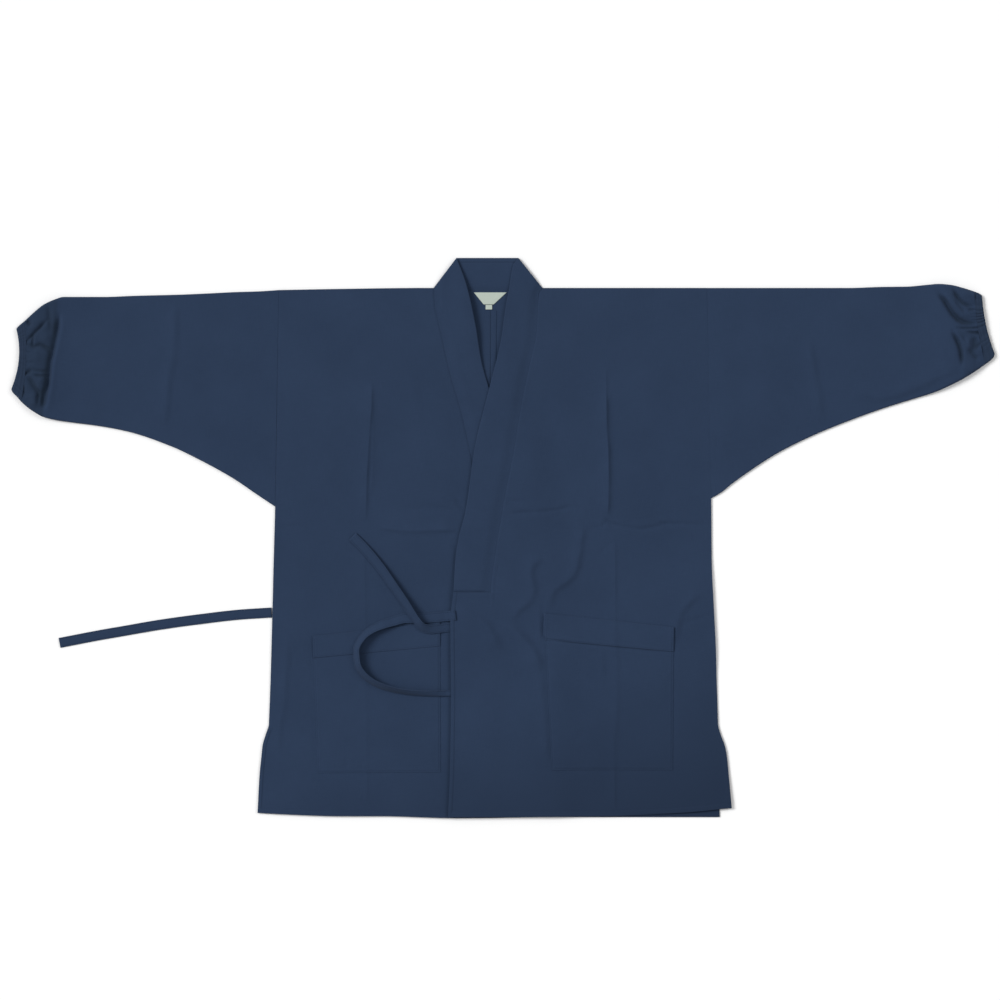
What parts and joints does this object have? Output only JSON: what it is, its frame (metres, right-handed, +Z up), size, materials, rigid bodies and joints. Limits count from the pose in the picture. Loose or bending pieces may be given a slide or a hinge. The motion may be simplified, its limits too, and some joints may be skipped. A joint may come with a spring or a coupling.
{
  "type": "samue jacket",
  "caption": "Samue jacket lying flat: a wrapped front with a long band collar, tapered sleeves with elastic cuffs, patch pockets and cloth ties.",
  "frame": {"origin": "middle of the garment's footprint, on the surface that it lies on", "axes": "+X toward the wearer's left sleeve, +Y from the hem toward the collar, +Z up, out of the front"},
  "size_m": [1.4254, 0.812, 0.0179],
  "materials": {
    "cloth": "matte",
    "cuff_cloth": "matte",
    "label_cloth": "matte"
  },
  "bodies": {
    "root": {"back_left": "cloth", "back_right": "cloth", "front_left": "cloth", "front_right": "cloth", "sleeve_left": "cloth", "sleeve_right": "cloth", "cuff_left": "cuff_cloth", "cuff_right": "cuff_cloth", "collar_back": "cloth", "collar_left": "cloth", "collar_right": "cloth", "pocket_left": "cloth", "pocket_right": "cloth", "tie_front_outer": "cloth", "tie_front_inner": "cloth", "tie_side_outer": "cloth", "tie_side_inner": "cloth", "neck_label": "label_cloth", "size_tab": "label_cloth"}
  },
  "joints": []
}
